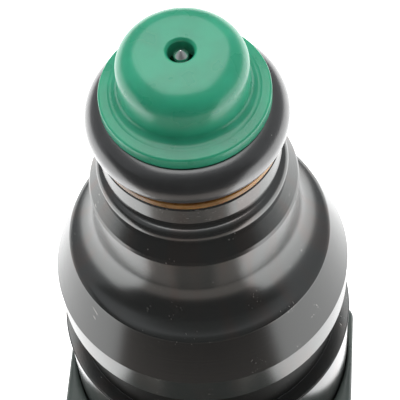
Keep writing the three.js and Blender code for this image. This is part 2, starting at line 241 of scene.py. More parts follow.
class Board:
    # the node tree of one material, with the patterns that this injector's finishes share
    def __init__(self, owner):
        self.owner = owner
        owner.use_nodes = True
        self.tree = owner.node_tree
        self.tree.nodes.clear()

    def add(self, kind, settings=None, inputs=None, out=0):
        node = self.tree.nodes.new(kind)
        for key, value in (settings or {}).items():
            setattr(node, key, value)
        for key, value in (inputs or {}).items():
            if isinstance(value, Signal):
                self.tree.links.new(value.socket, node.inputs[key])
            else:
                node.inputs[key].default_value = value
        return Signal(self, node.outputs[out]) if node.outputs else None

    def place(self):
        # position on the piece in millimetres
        spot = self.add("ShaderNodeTexCoord", out="Object")
        return self.add("ShaderNodeVectorMath", {"operation": "SCALE"}, {0: spot, "Scale": 1 / mm})

    def split(self, vector):
        # its x, y and z
        outputs = self.add("ShaderNodeSeparateXYZ", inputs={0: vector}).socket.node.outputs
        return [Signal(self, output) for output in outputs]

    def join(self, x, y, z):
        return self.add("ShaderNodeCombineXYZ", inputs={0: x, 1: y, 2: z})

    def polar(self, vector):
        # distance from the long axis, turn about it from -1 to 1, and height
        x, y, z = self.split(vector)
        radius = (x * x + y * y) ** 0.5
        turn = self.add("ShaderNodeMath", {"operation": "ARCTAN2"}, {0: y, 1: x}) / np.pi
        return radius, turn, z

    def stretch(self, vector, x, y, z):
        return self.add("ShaderNodeVectorMath", {"operation": "MULTIPLY"}, {0: vector, 1: (x, y, z)})

    def noise(self, vector, scale, detail=2.0, roughness=0.5):
        return self.add("ShaderNodeTexNoise", inputs={
            "Vector": vector, "Scale": scale, "Detail": detail, "Roughness": roughness})

    def cells(self, vector, scale):
        return self.add("ShaderNodeTexVoronoi", inputs={"Vector": vector, "Scale": scale}, out="Distance")

    def ease(self, value, low, high):
        # smooth step from 0 at low to 1 at high
        return self.add("ShaderNodeMapRange", {"interpolation_type": "SMOOTHSTEP"},
                        {"Value": value, "From Min": low, "From Max": high})

    def blend(self, share, first, second):
        # colour between two colours
        return self.add("ShaderNodeMix", {"data_type": "RGBA"}, {0: share, 6: first, 7: second}, 2)

    def specks(self, vector, scale, size, share):
        # small dots: the middle of a cell, in the cells whose random number is under the share
        near = self.cells(vector, scale)
        lucky, _, _ = self.split(Signal(self, near.socket.node.outputs["Color"]))
        return self.ease(near, size, size * 0.5) * self.ease(lucky, share, share * 0.9)

    def scratches(self, vector, turnX, turnY, density, share):
        # fine straight marks: the ridge of a noise stretched along one direction, kept in a few patches
        lean = self.add("ShaderNodeVectorRotate", {"rotation_type": "EULER_XYZ"},
                        {"Vector": vector, "Rotation": (turnX, turnY, turnX)})
        lines = self.noise(self.stretch(lean, 6, 6, 0.35), density, 1)
        patch = self.noise(vector, density * 0.35, 1)
        return self.ease(lines, 0.69, 0.76) * self.ease(patch, 1 - share, 1.05 - share)

    def finish(self, shade, roughness, metallic=0.0, height=None, reach=0.02, **constants):
        # principled shader with an optional bump: height from 0 to 1 stands reach millimetres proud
        inputs = {"Base Color": shade, "Roughness": roughness, "Metallic": metallic, **constants}
        if height is not None:
            inputs["Normal"] = self.add("ShaderNodeBump", inputs={"Height": height, "Distance": reach * mm})
        shader = self.add("ShaderNodeBsdfPrincipled", inputs=inputs)
        self.add("ShaderNodeOutputMaterial", inputs={"Surface": shader})
        return self.owner


def newBoard(name):
    return Board(bpy.data.materials.new(name))


def colour(red, green, blue):
    return (red, green, blue, 1.0)


capFinish = {
    "green": colour(0.04, 0.45, 0.262), "deep": colour(0.032, 0.38, 0.218),
    "speck": colour(0.75, 0.85, 0.8), "roughness": 0.27,
    "depth": {
        "IOR": 1.5, "Coat Weight": 0.25, "Coat Roughness": 0.16, "Subsurface Weight": 0.35,
        "Subsurface Radius": (0.4, 1.0, 0.6), "Subsurface Scale": 0.7 * mm,
    },
}


def greenPlastic():
    # moulded cap: slow drifts of colour, faint orange peel and a few light specks
    board = newBoard("green_cap_plastic")
    spot = board.place()
    drift = board.ease(board.noise(spot, 0.35, 3), 0.35, 0.65)
    dust = board.specks(spot, 1.1, 0.045, 0.09)
    peel = board.noise(spot, 3.2, 2)
    scuff = board.scratches(spot, 0.5, 0.9, 1.3, 0.42)
    base = board.blend(drift, capFinish["deep"], capFinish["green"])
    base = board.blend(dust * 0.8, base, capFinish["speck"])
    rough = capFinish["roughness"] + 0.06 * drift + 0.25 * dust + 0.12 * scuff
    proud = peel * 0.5 - scuff * 0.12 + dust * 0.6
    return board.finish(base, rough, height=proud, reach=0.006, **capFinish["depth"])


sealFinish = {
    "black": colour(0.014, 0.014, 0.015), "oiled": colour(0.026, 0.026, 0.027),
    "lint": colour(0.45, 0.43, 0.4), "roughness": 0.4,
    "sheen": {"Specular IOR Level": 0.6, "Coat Weight": 1.0, "Coat Roughness": 0.22, "Coat IOR": 1.75},
}


def blackRubber():
    # satin seal: fine pores, a little oil sheen in patches, and pale lint
    board = newBoard("black_seal_rubber")
    spot = board.place()
    patch = board.ease(board.noise(spot, 0.5, 3), 0.35, 0.7)
    pores = board.cells(spot, 7.0)
    lint = board.specks(spot, 0.9, 0.04, 0.12)
    base = board.blend(patch, sealFinish["black"], sealFinish["oiled"])
    base = board.blend(lint * 0.7, base, sealFinish["lint"])
    rough = sealFinish["roughness"] - 0.08 * patch + 0.3 * lint
    proud = pores * 0.6 + board.noise(spot, 9, 2) * 0.4
    return board.finish(base, rough, height=proud, reach=0.008, **sealFinish["sheen"])


# thick is painted shade on the side away from the light, the second colour painted light on the side that
# light comes through; swirl is the melt's own colour
ringFinish = {
    "thick": colour(0.24, 0.112, 0.022), "thin": colour(0.64, 0.29, 0.022),
    "swirl": colour(0.42, 0.195, 0.026), "roughness": 0.22,
    "depth": {
        "Subsurface Weight": 0.5, "Subsurface Radius": (1.0, 0.45, 0.12), "Subsurface Scale": 0.8 * mm,
    },
}


def amberPlastic():
    # translucent ring: honey colour with painted light, lighter on the +x side as if light came through it
    # and darker on the other side, with swirls of the melt
    board = newBoard("amber_ring_plastic")
    spot = board.place()
    radius, turn, height = board.polar(spot)
    x, _, _ = board.split(spot)
    # painted light: the +x side of the ring is lighter and the other side darker
    paintedLitShare = board.ease(x / radius, 0.2, 0.8)
    swirl = board.noise(board.stretch(spot, 0.5, 0.5, 2), 1.1, 3)
    base = board.blend(paintedLitShare, ringFinish["thick"], ringFinish["thin"])
    base = board.blend(board.ease(swirl, 0.35, 0.65) * 0.5, base, ringFinish["swirl"])
    rings = board.noise(board.join(radius, turn * 0.2, height), 8, 2)
    rough = ringFinish["roughness"] + 0.12 * swirl
    return board.finish(base, rough, height=rings, reach=0.006, **ringFinish["depth"])


# each piece of black steel has a darker, duller band between two depths below its top (on the holder the
# cone's duller finish, on the housing painted shade in the neck under the holder's strip), and wear above a
# third depth
steelFinish = {
    "body": colour(0.148, 0.151, 0.149), "tint": colour(0.16, 0.146, 0.14),
    "dust": colour(0.75, 0.72, 0.68),
}
holderFinish = {
    "gloss": 0.21, "band": colour(0.092, 0.093, 0.092), "bandGloss": 0.2, "bandFoot": 16.7,
    "bandHead": 12.77, "wornFoot": 1.85,
}
# the housing's band is painted shade: near black where shade falls in the neck under the holder's strip
housingFinish = {
    "gloss": 0.13, "band": colour(0.03, 0.03, 0.029), "bandGloss": 0.5, "bandFoot": 4.65,
    "bandHead": -1.0, "wornFoot": -1.0,
}


def blackSteel(name, node, look):
    # black plating over turned steel: rings round the axis, drifts of tint along it, dust and scratches
    board = newBoard(name)
    foot, head, worn = (extent(node)[2] - look[key] for key in ("bandFoot", "bandHead", "wornFoot"))
    spot = board.place()
    radius, turn, height = board.polar(spot)
    rings = board.noise(board.join(radius * 3.0, turn * 0.6, height * 3.0), 2.0, 3, 0.6)
    streaks = board.noise(board.join(turn * 16.0, height * 0.12, radius * 0.1), 1.0, 2)
    # the band: a duller finish on the holder, painted shade on the housing's neck
    dullBandAndShade = board.ease(height, foot - 0.08, foot + 0.02) * board.ease(height, head, head - 0.1)
    dust = board.specks(spot, 1.3, 0.05, 0.1)
    wear = board.scratches(spot, 0.1, 1.5, 2.6, 0.62) * board.ease(height, worn, worn + 0.2)
    marks = board.scratches(spot, 1.2, 0.4, 1.5, 0.4) + wear
    base = board.blend(board.ease(streaks, 0.45, 0.7), steelFinish["body"], steelFinish["tint"])
    base = board.blend(dullBandAndShade, base, look["band"])
    base = board.blend(dust * 0.6 + marks * 0.5, base, steelFinish["dust"])
    rough = look["gloss"] + (look["bandGloss"] - look["gloss"]) * dullBandAndShade
    rough = rough + 0.06 * streaks + 0.3 * dust + 0.15 * marks
    proud = rings * 0.5 - marks * 0.3 + dust * 0.5
    return board.finish(base, rough, 0.92 - 0.8 * dust, proud, 0.004)


# bare and plated metals: the two tones of their clouds, roughness, closeness and depth of the lathe marks
metalFinish = {
    "ground_steel": {"light": (0.86, 0.86, 0.86), "dark": (0.62, 0.62, 0.62), "smooth": 0.12, "grain": 6.0},
    "soft_iron": {"light": (0.5, 0.5, 0.5), "dark": (0.33, 0.33, 0.33), "smooth": 0.28, "grain": 3.0,
                  "reach": 0.008},
    "core_steel": {"light": (0.6, 0.6, 0.61), "dark": (0.42, 0.42, 0.43), "smooth": 0.2, "grain": 4.0},
    "spring_steel": {"light": (0.55, 0.55, 0.56), "dark": (0.35, 0.35, 0.36), "smooth": 0.2, "grain": 1.0},
    "sleeve_brass": {"light": (0.78, 0.55, 0.22), "dark": (0.55, 0.36, 0.13), "smooth": 0.2, "grain": 4.0},
    "tin_plate": {"light": (0.72, 0.71, 0.67), "dark": (0.52, 0.51, 0.48), "smooth": 0.24, "grain": 1.2},
}


def turnedMetal(name, light, dark, smooth, grain, reach=0.004):
    # lathe marks round the axis and darker clouds of handling
    board = newBoard(name)
    spot = board.place()
    radius, turn, height = board.polar(spot)
    rings = board.noise(board.join(radius * grain, turn * 0.5, height * grain), 2.0, 4, 0.65)
    clouds = board.ease(board.noise(spot, 0.45, 4), 0.35, 0.7)
    marks = board.scratches(spot, 0.3, 1.1, 1.6, 0.45)
    base = board.blend(clouds * 0.6 + rings * 0.3, colour(*light), colour(*dark))
    rough = smooth + 0.12 * rings + 0.1 * clouds + 0.1 * marks
    return board.finish(base, rough, 1.0, rings * 0.7 - marks * 0.4, reach)


nylonFinish = {
    "bobbin_nylon": {"light": (0.66, 0.62, 0.48), "dark": (0.5, 0.46, 0.34), "smooth": 0.42},
    "dark_connector_nylon": {"light": (0.11, 0.135, 0.122), "dark": (0.075, 0.092, 0.084), "smooth": 0.33},
}
nylonScuff = colour(0.42, 0.45, 0.43)


def mouldedNylon(name, light, dark, smooth):
    # spark-eroded mould texture, pale scuffs on it and slow drifts of colour
    board = newBoard(name)
    spot = board.place()
    drift = board.ease(board.noise(spot, 0.16, 4), 0.35, 0.65)
    grain = board.noise(spot, 6.0, 4, 0.65)
    scuffs = board.scratches(spot, 0.7, 0.3, 0.8, 0.42)
    dust = board.specks(spot, 1.2, 0.06, 0.14)
    base = board.blend(drift, colour(*dark), colour(*light))
    base = board.blend(scuffs * 0.3 + dust * 0.6, base, nylonScuff)
    rough = smooth + 0.12 * grain + 0.08 * drift + 0.15 * scuffs
    return board.finish(base, rough, height=grain * 0.7 + dust * 0.3 - scuffs * 0.2)


wireFinish = {"dark": colour(0.5, 0.15, 0.05), "light": colour(0.72, 0.28, 0.12), "roughness": 0.28}


def enamelledWire():
    # copper seen through clear enamel, turn by turn
    board = newBoard("enamelled_copper")
    radius, turn, height = board.polar(board.place())
    tone = board.noise(board.join(height * 3.5, turn * 0.5, radius), 1.0, 2)
    base = board.blend(tone, wireFinish["dark"], wireFinish["light"])
    rough = wireFinish["roughness"] + 0.1 * tone
    return board.finish(base, rough, 0.85, tone, 0.01, **{"Coat Weight": 0.5})


weaveFinish = {
    "gap": colour(0.3, 0.31, 0.27), "thread": colour(0.72, 0.74, 0.68), "round": 9.0, "along": 1.6,
    "roughness": 0.5,
}


def meshCloth():
    # woven nylon: two sets of threads round and along the sleeve
    board = newBoard("filter_weave")
    _, turn, height = board.polar(board.place())
    wave = {"wave_type": "BANDS", "bands_direction": "X"}
    threads = [
        board.add("ShaderNodeTexWave", wave, {"Vector": board.join(run, 0.0, 0.0), "Scale": 3.0})
        for run in (turn * weaveFinish["round"], height * weaveFinish["along"])
    ]
    weave = (threads[0] + threads[1]) * 0.5
    base = board.blend(weave, weaveFinish["gap"], weaveFinish["thread"])
    return board.finish(base, weaveFinish["roughness"] + 0.2 * weave, height=weave, reach=0.05)


rubber = blackRubber()
amber = amberPlastic()
capGreen = greenPlastic()
holderBlack = blackSteel("black_plated_holder", "nozzle_holder", holderFinish)
housingBlack = blackSteel("black_plated_housing", "outer_housing", housingFinish)
metals = {name: turnedMetal(name, **look) for name, look in metalFinish.items()}
nylons = {name: mouldedNylon(name, **look) for name, look in nylonFinish.items()}
copper = enamelledWire()
weave = meshCloth()
print("finishes made")


capShape = {
    "flange": 1.0, "dome": 4.6, "domeRounding": 1.75, "foot": 0.65, "footRise": 0.2, "hole": 0.93,
    "holeFall": 0.16, "holeDepth": 1.45, "noseBore": 2.95, "noseTop": 3.3, "sealBore": 3.8,
    "sealBoreTop": 1.75,
}


def capProfile():
    # outline from the bottom of the spray hole inside, round the flange, up the dome and back down the hole
    edge, low, high = extent("pintle_cap")
    shape = capShape
    hole, dome, fall = shape["hole"], shape["dome"], shape["holeFall"]
    ledge = low + shape["flange"]
    rise = ledge + shape["footRise"]
    step = low + shape["sealBoreTop"]
    rounding = shape["domeRounding"]
    foot = arcPoints((dome + shape["foot"], rise + shape["foot"]), shape["foot"], 268, 182, 12)
    crown = arcPoints((dome - rounding, high - rounding), rounding, 0, 88, 26)
    outside = openLine([
        (hole, high - fall * 1.3, 0), (hole, high - shape["holeDepth"], 0.1),
        (shape["noseBore"], low + shape["noseTop"], 0.1), (shape["noseBore"], step, 0.1),
        (shape["sealBore"], step, 0.1), (shape["sealBore"], low, 0.08), (edge, low, 0.12),
        (edge, ledge, 0.17),
        (dome + shape["foot"] + 0.12, ledge + shape["footRise"] * 0.7, 0.02), (*foot[0], 0),
    ])
    rim = openLine([
        (*crown[-1], 0), (hole + fall, high, 0.16), (hole, high - fall * 1.3, 0.2),
        (hole, high - shape["holeDepth"], 0),
    ])
    return np.vstack([outside, foot, crown, rim])


def sealProfile(node, rows=64):
    # circle section, with a thin line of flash left by the mould on its outer edge
    edge, low, high = extent(node)
    section = (high - low) / 2
    angle = np.linspace(0, 2 * np.pi, rows, endpoint=False)
    swell = section * (1 - 0.012 * np.exp(-(np.sin(angle - 0.02) / 0.06) ** 2))
    middle = (edge - section, (low + high) / 2)
    return middle + swell[:, None] * np.stack([np.cos(angle), np.sin(angle)], axis=1)


def sleeveProfile(node, inner, rounding=0.1):
    # plain ring or tube: a rectangle with its corners broken
    edge, low, high = extent(node)
    return rounded([
        (inner, low, rounding), (edge, low, rounding), (edge, high, rounding), (inner, high, rounding),
    ])


turnedPiece("moulded_cap", capProfile(), "pintle_cap", capGreen, columns=192)

for end, seat in {"lower": "manifold", "upper": "rail"}.items():
    seal, backing = end + "_o_ring", end + "_backing_ring"
    turnedPiece(seat + "_seal", sealProfile(seal), seal, rubber, columns=192)
    turnedPiece(seat + "_backing_ring", sleeveProfile(backing, capShape["sealBore"], 0.12), backing,
                amber, columns=192)

for name, node in {
    "inner_seal_low": "bobbin_seal_inlet", "inner_seal_high": "bobbin_seal_tip",
    "outer_seal": "housing_seal",
}.items():
    turnedPiece(name, sealProfile(node, 32), node, rubber, columns=96)


# heights are depths below the piece's top
holderShape = {
    "skirt": 16.65, "shoulder": 12.77, "shoulderRadius": 10.14, "collar": 5.59, "collarRadius": 7.83,
    "land": 1.82, "landRadius": 6.61, "flare": 4.2, "flareFoot": 8.85, "beadIn": 0.28, "beadDepth": 3.32,
    "bead": 0.72, "spigot": 10.15, "strip": 11.5, "stripDepth": 19.67, "bore": 5.0, "lowerBore": 5.4,
    "shimBore": 4.4, "shimLedge": 17.45, "sealRoot": 3.8, "sealSeat": 0.5,
}


def holderProfile():
    # outline up the outside, over cone, flare, collar, bead and land, and back down the bore
    edge, low, top = extent("nozzle_holder")
    shape = holderShape
    skirt, shoulder, collar, land, ledge, strip, seat = (top - shape[key] for key in (
        "skirt", "shoulder", "collar", "land", "shimLedge", "stripDepth", "sealSeat"))
    collarRadius, landRadius, bore = shape["collarRadius"], shape["landRadius"], shape["bore"]
    wall = collarRadius - 0.08
    flare = arcPoints((wall + shape["flare"], top - shape["flareFoot"]), shape["flare"], 241, 181, 24)
    bead = arcPoints((landRadius - shape["beadIn"], top - shape["beadDepth"]), shape["bead"], -48, 78, 16)
    below = openLine([
        (shape["lowerBore"], ledge, 0), (shape["lowerBore"], low, 0.1), (shape["spigot"], low, 0.15),
        (shape["spigot"], strip, 0.04), (shape["strip"], strip, 0.08), (shape["strip"], skirt - 0.15, 0.04),
        (edge, skirt, 0.05), (shape["shoulderRadius"], shoulder, 0.02), (*flare[0], 0),
    ])
    collarEdge = openLine([
        (*flare[-1], 0), (wall, collar - 0.15, 0.05), (collarRadius, collar, 0.05),
        (collarRadius - 0.12, collar + 0.3, 0.1), (landRadius + 0.35, collar + 1.35, 0.2),
        (landRadius + 0.15, collar + 1.6, 0.02), (*bead[0], 0),
    ])
    above = openLine([
        (*bead[-1], 0), (landRadius - 0.32, land - 0.12, 0.08), (landRadius - 0.08, land - 0.06, 0.04),
        (landRadius, land + 0.08, 0.06), (landRadius, top - 0.14, 0.06), (landRadius - 0.15, top, 0.08),
        (shape["sealRoot"], top, 0.05), (shape["sealRoot"], seat, 0.05), (bore, seat, 0.05),
        (bore, ledge, 0.05), (shape["shimBore"], ledge, 0.05), (shape["shimBore"], ledge - 0.6, 0.05),
        (shape["lowerBore"], ledge - 0.6, 0.05), (shape["lowerBore"], low, 0),
    ])
    return np.vstack([below, flare, collarEdge, bead, above])


# The low land's ends are heights above the collar's foot. The high land's, the seat's and the pintle's foot
# are depths below the valve body's top, and the pintle's head and the bulb's ends are below the point.
needleShape = {
    "stem": 1.15, "collar": 1.9, "collarGap": 0.22, "collarLength": 1.4, "shank": 1.4, "land": 1.94,
    "taper": 0.3, "lowLand": (3.4, 5.0), "highLand": (5.25, 3.75), "seat": 1.5, "seatEnds": (3.35, 1.83),
    "pintle": 0.34, "pintleFoot": 0.58, "pintleHead": 1.05, "bulb": 0.56, "bulbEnds": (0.6, 0.42),
}


def needleProfile():
    # outline from the stem's end on the axis, over collar, lands, seat and pintle, to the point on the axis
    _, low, tip = extent("needle")
    shape = needleShape
    stem, shank, land, taper = (shape[key] for key in ("stem", "shank", "land", "taper"))
    seat, pintle, bulb = (shape[key] for key in ("seat", "pintle", "bulb"))
    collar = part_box("stop_shim")[1].z / mm + shape["collarGap"]
    collarTop = collar + shape["collarLength"]
    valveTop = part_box("valve_body")[1].z / mm
    lowFoot, lowHead = (collar + rise for rise in shape["lowLand"])
    highFoot, highHead = (valveTop - depth for depth in shape["highLand"])
    seatFoot, seatHead = (valveTop - depth for depth in shape["seatEnds"])
    bulbFoot, bulbHead = (tip - depth for depth in shape["bulbEnds"])
    pintleFoot, pintleHead = valveTop - shape["pintleFoot"], tip - shape["pintleHead"]
    return poleToPole([
        (0, low, 0), (stem, low, 0.1), (stem, collar, 0.05), (shape["collar"], collar, 0.08),
        (shape["collar"], collarTop, 0.1), (shank, collarTop + taper, 0.1), (shank, lowFoot - taper, 0.1),
        (land, lowFoot, 0.1), (land, lowHead, 0.1), (shank, lowHead + taper, 0.1),
        (shank, highFoot - taper, 0.1), (land, highFoot, 0.1), (land, highHead, 0.1), (seat, seatFoot, 0.1),
        (seat, seatHead, 0.1), (pintle, pintleFoot, 0.05), (pintle, pintleHead, 0.1),
        (bulb, bulbFoot, 0.06), (bulb - 0.04, bulbHead, 0.04), (0.05, tip - 0.02, 0.03), (0, tip, 0),
    ])


# heights are depths below the piece's top
valveShape = {
    "guide": 2.0, "seal": 3.75, "shoulder": 7.95, "nose": 2.9, "noseDepth": 1.45, "orifice": 0.62,
    "orificeDepth": 0.75, "seatDepth": 2.25,
}


def valveBodyProfile():
    # outline up the spigot that carries the seal, over the nose, and down the orifice, seat cone and guide
    edge, low, high = extent("valve_body")
    shape = valveShape
    guide, seal, orifice = shape["guide"], shape["seal"], shape["orifice"]
    shoulder, noseFoot = high - shape["shoulder"], high - shape["noseDepth"]
    return rounded([
        (guide, low, 0.1), (edge, low, 0.15), (edge, shoulder, 0.05), (seal, shoulder, 0.05),
        (seal, noseFoot - 0.2, 0.05), (seal - 0.2, noseFoot, 0.05), (shape["nose"], noseFoot, 0.05),
        (shape["nose"], high, 0.1), (orifice, high, 0.06), (orifice, high - shape["orificeDepth"], 0.05),
        (guide, high - shape["seatDepth"], 0.1),
    ])


armatureShape = {"springBore": 2.05, "stemBore": 1.2, "springDepth": 3.0}


def armatureProfile():
    # outline of the plunger: its bore is wide for the spring, then narrow for the needle's stem
    edge, low, high = extent("armature")
    wide, narrow = armatureShape["springBore"], armatureShape["stemBore"]
    ledge = low + armatureShape["springDepth"]
    return rounded([
        (wide, low, 0.1), (edge, low, 0.25), (edge, high, 0.3), (narrow, high, 0.1), (narrow, ledge, 0.05),
        (wide, ledge, 0.05),
    ])


ground = metals["ground_steel"]
turnedPiece("turned_holder", holderProfile(), "nozzle_holder", holderBlack, columns=256)
turnedPiece("ground_valve_body", valveBodyProfile(), "valve_body", ground)
turnedPiece("pintle_needle", needleProfile(), "needle", ground, movingBody, columns=96,
            closed=False)
turnedPiece("plunger", armatureProfile(), "armature", metals["soft_iron"], movingBody)


housingShape = {
    "wall": 11.7, "inside": 10.2, "lip": 9.4, "lipThickness": 0.6, "rimDepth": 4.8, "neck": 10.68,
}


def housingProfile():
    # outline over the rolled lip, up the wall, in at the rim and up the neck, and down the inside
    edge, low, top = extent("outer_housing")
    shape = housingShape
    inside, lip, neck = shape["inside"], shape["lip"], shape["neck"]
    rim = top - shape["rimDepth"]
    roll = low + shape["lipThickness"]
    return rounded([
        (inside, roll, 0.1), (lip, roll, 0.1), (lip, low, 0.1), (shape["wall"], low, 0.4),
        (shape["wall"], rim - 0.15, 0.05), (edge, rim, 0.05), (edge - 0.1, rim + 0.1, 0.05),
        (neck, rim + 0.1, 0.03), (neck, top, 0.08), (inside, top, 0.08),
    ])


coreShape = {
    "bore": 2.95, "lip": 5.2, "lipThickness": 1.45, "neck": 3.75, "pole": 5.0, "poleFoot": 24.15,
    "springBore": 2.05, "filterDepth": 12.5,
}


def coreProfile():
    # outline over the formed lip, up the neck and the pole, and down the spring's bore and the filter's
    _, low, high = extent("inlet_core")
    shape = coreShape
    bore, lip, neck, pole, step = (shape[key] for key in ("bore", "lip", "neck", "pole", "poleFoot"))
    lipTop = low + shape["lipThickness"]
    return rounded([
        (bore, low, 0.15), (lip, low, 0.18), (lip, lipTop, 0.35), (neck, lipTop + 0.25, 0.1),
        (neck, step, 0.05), (pole, step, 0.1), (pole, high, 0.15), (shape["springBore"], high, 0.1),
        (shape["springBore"], shape["filterDepth"], 0.05), (bore, shape["filterDepth"], 0.1),
    ])


bobbinShape = {
    "lowBore": 6.9, "bore": 5.3, "barrel": 6.2, "lowFlange": 2.1, "highFlange": 1.0, "ledge": 1.3,
}


def bobbinProfile():
    # spool: two flanges and a barrel, with a wider bore at its foot for the seal
    edge, low, high = extent("coil_bobbin")
    lowBore, bore, barrel = (bobbinShape[key] for key in ("lowBore", "bore", "barrel"))
    lowFlange, highFlange = low + bobbinShape["lowFlange"], high - bobbinShape["highFlange"]
    ledge = low + bobbinShape["ledge"]
    return rounded([
        (lowBore, low, 0.1), (edge, low, 0.1), (edge, lowFlange, 0.1), (barrel, lowFlange, 0.1),
        (barrel, highFlange, 0.1), (edge, highFlange, 0.1), (edge, high, 0.1), (bore, high, 0.1),
        (bore, ledge, 0.1), (lowBore, ledge, 0.1),
    ])


windingShape = {"turns": 44, "pointsPerTurn": 8, "inner": 6.25}


def windingProfile():
    # the outer layer's wires stand out as half circles: radius = edge - wire + wire * |sin| along height
    edge, low, high = extent("coil_winding")
    turns = windingShape["turns"]
    wire = (high - low) / turns / 2
    share = np.linspace(0, 1, turns * windingShape["pointsPerTurn"] + 1)
    radius = edge - wire + wire * np.abs(np.sin(np.pi * turns * share))
    outside = np.stack([radius, low + (high - low) * share], axis=1)
    inside = np.array([[windingShape["inner"], high], [windingShape["inner"], low]])
    return np.vstack([outside, inside])


springShape = {"turns": 6, "pointsPerTurn": 40, "wire": 0.24}


def springPath():
    # helix: (radius cos, radius sin, height), with the pitch closing up in the first and last turn
    edge, low, high = extent("return_spring")
    turns, wire = springShape["turns"], springShape["wire"]
    share = np.linspace(0, 1, turns * springShape["pointsPerTurn"] + 1)
    angle = 2 * np.pi * turns * share
    rise = np.clip((share * turns - 0.5) / (turns - 1), 0, 1)
    height = low + wire + (high - low - 2 * wire) * rise
    return np.stack([(edge - wire) * np.cos(angle), (edge - wire) * np.sin(angle), height], axis=1)


basketShape = {"hollow": 1.65, "mouth": 1.9, "cap": 0.4, "shoulder": 0.25}


def basketProfile():
    # cup that tapers to a closed end, from the middle of its hollow to the middle of its top
    edge, low, high = extent("filter_screen")
    shape = basketShape
    under = high - shape["cap"]
    return poleToPole([
        (0, under, 0), (shape["hollow"], under, 0.1), (shape["mouth"], low, 0.05), (edge, low, 0.05),
        (edge - shape["shoulder"], high, 0.25), (0, high, 0),
    ])


core = metals["core_steel"]
turnedPiece("steel_housing", housingProfile(), "outer_housing", housingBlack, columns=256)
turnedPiece("inlet_tube_and_pole", coreProfile(), "inlet_core", core)
turnedPiece("nylon_bobbin", bobbinProfile(), "coil_bobbin", nylons["bobbin_nylon"])
turnedPiece("wound_coil", windingProfile(), "coil_winding", copper, columns=96)
turnedPiece("preload_tube", sleeveProfile("adjusting_tube", 1.2), "adjusting_tube", core,
            columns=96)
turnedPiece("filter_collar", sleeveProfile("filter_sleeve", 2.3), "filter_sleeve",
            metals["sleeve_brass"], columns=96)
turnedPiece("filter_basket", basketProfile(), "filter_screen", weave, columns=96,
            closed=False)

springPoints, springFaces = gridFaces(tubeAlong(springPath(), springShape["wire"]), False)
spring = piece("coiled_spring", springPoints, springFaces, "return_spring",
               metals["spring_steel"])
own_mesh(spring)
print("turned pieces made")


# out and across are level, along and up follow the slanting socket; turn is the way that it faces
connectorShape = {
    "turn": -99, "slant": 25, "rootOut": 9.6, "rootHeight": 28.4, "halfWidth": 12.2, "back": -4.2,
    "front": 17, "bottom": 18.5, "cutCorner": 4.0, "width": 20.4, "height": 12.6, "corner": 3.4,
    "wall": 1.5, "depth": 13.5, "reach": 21.5, "canSpace": 11.75, "canBottom": 24.1, "coreSpace": 3.8,
    "lip": 6.6, "lipTop": 9.4, "clip": 5.9, "neck": 6.9, "neckBottom": 11.7, "skirt": 11.6,
    "skirtBottom": 18.1, "bevelWidth": 1.4, "frontDrop": 0.8, "lugLength": 2.4, "lugHeight": 5.2,
    "lugProud": 0.7, "lugBack": 4.6, "grid": 0.3,
}


def softMax(first, second, width):
    # the larger of two distances, with the corner between them rounded over that width
    near = np.clip(width - np.abs(first - second), 0, None) / width
    return np.maximum(first, second) + near * near * width / 4


def softMin(first, second, width):
    return -softMax(-first, -second, width)


def disc(radius, height, edge, low, high, width=0.5):
    # solid cylinder about the long axis
    return softMax(softMax(radius - edge, height - high, width), low - height, width)


def roundedBar(across, up, width, height, corner):
    # distance to a bar whose section is a rectangle with round corners
    x = np.abs(across) - width / 2 + corner
    y = np.abs(up) - height / 2 + corner
    return np.hypot(np.clip(x, 0, None), np.clip(y, 0, None)) + np.minimum(np.maximum(x, y), 0) - corner


